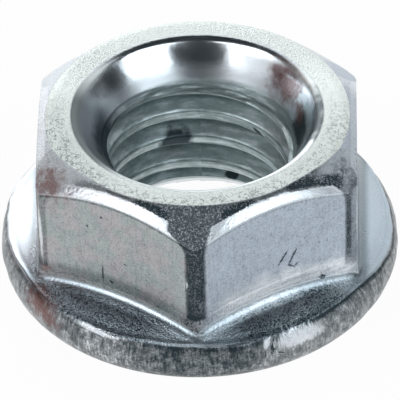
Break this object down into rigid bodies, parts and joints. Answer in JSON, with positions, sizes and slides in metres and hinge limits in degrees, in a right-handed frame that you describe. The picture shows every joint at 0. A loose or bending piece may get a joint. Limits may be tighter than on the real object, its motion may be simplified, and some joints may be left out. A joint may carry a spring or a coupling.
{
  "type": "serrated flange nut",
  "caption": "Hexagon nut with a built-in round flange whose bearing face has ratchet serrations, so that it locks on a bolt without a washer.",
  "frame": {"origin": "on the nut's axis, in the plane that the crests of its serrations rest on", "axes": "+Z along the axis from the bearing face to the crown; two corners of the hexagon lie on the Y axis, so a pair of flats faces -X and +X"},
  "size_m": [0.019, 0.019, 0.009],
  "materials": {
    "zinc_steel": "bright zinc plating on steel: smooth on the hexagon and the countersink, grainy on the crown, the flange and the rim, with small pits, scratches and nicks"
  },
  "bodies": {
    "root": {"flange_nut": "zinc_steel"}
  },
  "joints": []
}
